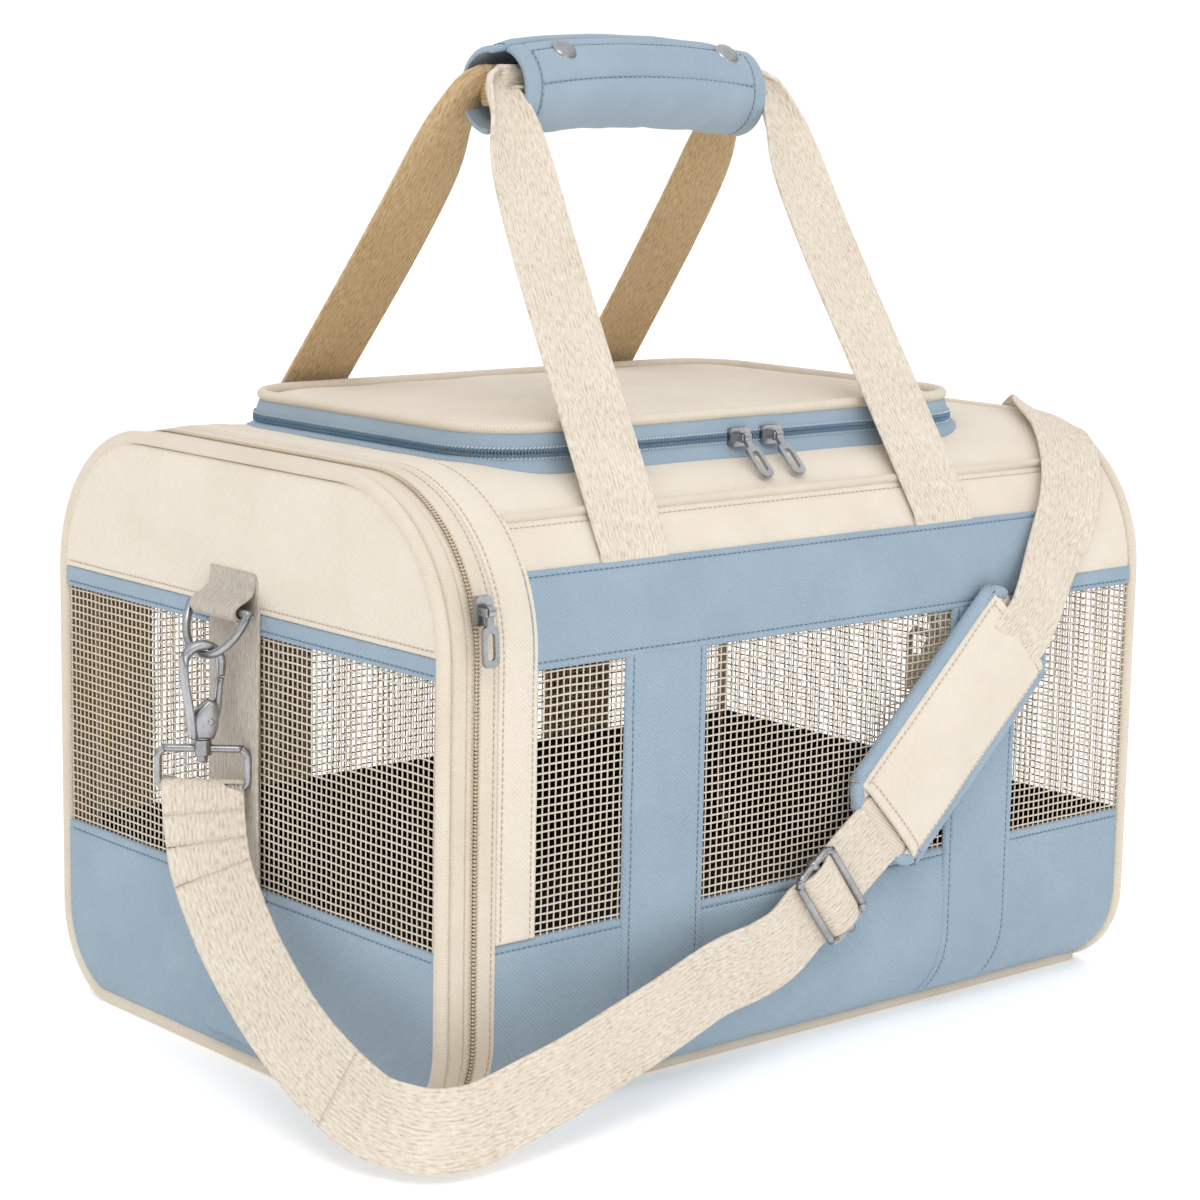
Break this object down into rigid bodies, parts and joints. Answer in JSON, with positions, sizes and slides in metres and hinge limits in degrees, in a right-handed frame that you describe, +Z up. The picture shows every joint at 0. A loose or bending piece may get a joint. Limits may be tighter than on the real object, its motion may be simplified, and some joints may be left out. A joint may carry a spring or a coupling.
{
  "type": "pet transport carrier",
  "caption": "Soft-sided fabric pet carrier with mesh windows, zipped end door and top hatch, carry handles with a snap grip and a clip-on shoulder strap.",
  "frame": {"origin": "centre of the base, on the surface it stands on", "axes": "+Z up, +X along the length towards the fixed end, -X towards the zipped door, -Y towards the side with the shoulder pad"},
  "size_m": [0.5396, 0.3484, 0.4799],
  "materials": {
    "beige_fabric": "twill",
    "blue_fabric": "twill",
    "webbing": "coarse woven webbing",
    "piping": "corded binding",
    "mesh": "open net",
    "zipper": "zipper tape and coil",
    "steel": "dark brushed",
    "spring_wire": "drawn wire",
    "board": "stiff sheet",
    "pad": "fleece"
  },
  "bodies": {
    "root": {"base_panel": "blue_fabric", "base_piping": "piping", "base_board": "board", "floor_pad": "pad", "front_lower_panel": "blue_fabric", "rear_lower_panel": "blue_fabric", "front_window_mesh": "mesh", "rear_window_mesh": "mesh", "shoulder_panels": "beige_fabric", "window_bands": "blue_fabric", "window_straps": "blue_fabric", "top_panel": "beige_fabric", "hatch_zip_base": "zipper", "door_frame_zip_tape": "zipper", "door_frame_facing": "beige_fabric", "fixed_end_upper_panel": "beige_fabric", "fixed_end_lower_panel": "blue_fabric", "fixed_end_mesh": "mesh", "fixed_end_piping": "piping", "fixed_end_frame_wire": "spring_wire", "right_ring_tab": "webbing", "strap_front_run": "webbing", "strap_shoulder_run": "webbing", "strap_left_drop": "webbing", "strap_right_drop": "webbing", "shoulder_pad": "beige_fabric", "slide_buckle": "steel"},
    "door": {"door_upper_panel": "beige_fabric", "door_lower_panel": "blue_fabric", "door_mesh": "mesh", "door_piping": "piping", "door_frame_wire": "spring_wire", "door_gusset": "beige_fabric", "door_zip_tape": "zipper", "door_centre_webbing": "webbing", "left_ring_tab": "webbing"},
    "lid": {"lid_zip_band": "zipper", "lid_panel": "beige_fabric", "lid_piping": "piping"},
    "front_handle": {"front_handle_webbing": "webbing", "grip_wrap": "blue_fabric", "snap_caps": "steel"},
    "rear_handle": {"rear_handle_webbing": "webbing"},
    "flap": {"grip_flap": "blue_fabric"},
    "lid_slider_left": {"lid_slider_left": "steel"},
    "lid_slider_right": {"lid_slider_right": "steel"},
    "door_slider": {"door_slider": "steel"},
    "lid_pull_left": {"lid_slider_left_pull": "steel"},
    "lid_pull_right": {"lid_slider_right_pull": "steel"},
    "door_pull": {"door_slider_pull": "steel"},
    "left_ring": {"left_d_ring": "steel"},
    "left_hook": {"left_hook": "steel", "left_gate_pin": "steel"},
    "left_gate": {"left_hook_gate": "steel"},
    "left_loop": {"left_swivel_loop": "steel"},
    "right_ring": {"right_d_ring": "steel"},
    "right_hook": {"right_hook": "steel", "right_gate_pin": "steel"},
    "right_gate": {"right_hook_gate": "steel"},
    "right_loop": {"right_swivel_loop": "steel"}
  },
  "joints": [
    {"name": "lid_hinge", "type": "hinge", "parent": "root", "child": "lid", "pos_m": [0, 0.104, 0.2942], "axis": [-1, 0, 0], "range_deg": [0, 105]},
    {"name": "front_handle_fold", "type": "hinge", "parent": "root", "child": "front_handle", "pos_m": [0, -0.1515, 0.2525], "axis": [1, 0, 0], "range_deg": [0, 105]},
    {"name": "rear_handle_fold", "type": "hinge", "parent": "root", "child": "rear_handle", "pos_m": [0, 0.1515, 0.2525], "axis": [-1, 0, 0], "range_deg": [0, 105]},
    {"name": "flap_open", "type": "hinge", "parent": "front_handle", "child": "flap", "pos_m": [0, 0.0002, 0.4355], "axis": [-1, 0, 0], "range_deg": [0, 115], "deforming": ["grip_flap"]},
    {"name": "door_hinge", "type": "hinge", "parent": "root", "child": "door", "pos_m": [-0.225, 0, 0.00325], "axis": [0, -1, 0], "range_deg": [0, 80], "deforming": ["strap_left_drop"]},
    {"name": "lid_slider_left_run", "type": "slide", "parent": "root", "child": "lid_slider_left", "axis": [-1, 0, 0], "range_m": [0, 0.07]},
    {"name": "lid_slider_right_run", "type": "slide", "parent": "root", "child": "lid_slider_right", "axis": [1, 0, 0], "range_m": [0, 0.045]},
    {"name": "door_slider_run", "type": "slide", "parent": "root", "child": "door_slider", "axis": [0, 0, -1], "range_m": [0, 0.14]},
    {"name": "lid_pull_left_flip", "type": "hinge", "parent": "lid_slider_left", "child": "lid_pull_left", "pos_m": [-0.012, -0.11, 0.294], "axis": [-1, 0, 0], "range_deg": [0, 120]},
    {"name": "lid_pull_right_flip", "type": "hinge", "parent": "lid_slider_right", "child": "lid_pull_right", "pos_m": [0.009, -0.11, 0.294], "axis": [-1, 0, 0], "range_deg": [0, 120]},
    {"name": "door_pull_flip", "type": "hinge", "parent": "door_slider", "child": "door_pull", "pos_m": [-0.208, -0.1625, 0.238], "axis": [-1, 0, 0], "range_deg": [0, 150]},
    {"name": "left_ring_swing", "type": "hinge", "parent": "door", "child": "left_ring", "pos_m": [-0.236, 0, 0.219], "axis": [0, 1, 0], "range_deg": [0, 15]},
    {"name": "left_hook_swing", "type": "hinge", "parent": "left_ring", "child": "left_hook", "pos_m": [-0.246, -0.001, 0.19829], "axis": [0, 1, 0], "range_deg": [0, 10]},
    {"name": "left_gate_spring", "type": "hinge", "parent": "left_hook", "child": "left_gate", "pos_m": [-0.23951, -0.00664, 0.16539], "axis": [-0.6561, -0.7547, 0], "range_deg": [0, 18], "stiffness_Nm_per_rad": 0.03, "springref_deg": -11.46},
    {"name": "left_swivel", "type": "hinge", "parent": "left_hook", "child": "left_loop", "pos_m": [-0.246, -0.001, 0.16539], "axis": [0, 0, 1], "range_deg": [-60, 0]},
    {"name": "right_ring_swing", "type": "hinge", "parent": "root", "child": "right_ring", "pos_m": [0.236, 0, 0.219], "axis": [0, -1, 0], "range_deg": [0, 15], "deforming": ["strap_right_drop"]},
    {"name": "right_hook_swing", "type": "hinge", "parent": "right_ring", "child": "right_hook", "pos_m": [0.246, -0.001, 0.19829], "axis": [0, -1, 0], "range_deg": [0, 10]},
    {"name": "right_gate_spring", "type": "hinge", "parent": "right_hook", "child": "right_gate", "pos_m": [0.2374, -0.001, 0.16539], "axis": [0, 1, 0], "range_deg": [0, 18], "stiffness_Nm_per_rad": 0.03, "springref_deg": -11.46},
    {"name": "right_swivel", "type": "hinge", "parent": "right_hook", "child": "right_loop", "pos_m": [0.246, -0.001, 0.16539], "axis": [0, 0, 1], "range_deg": [-45, 45]}
  ],
  "couplings": [
    {"joint": "front_handle_fold", "follows": "lid_hinge", "ratio": 1},
    {"joint": "rear_handle_fold", "follows": "lid_hinge", "ratio": 1},
    {"joint": "flap_open", "follows": "lid_hinge", "ratio": 1}
  ]
}
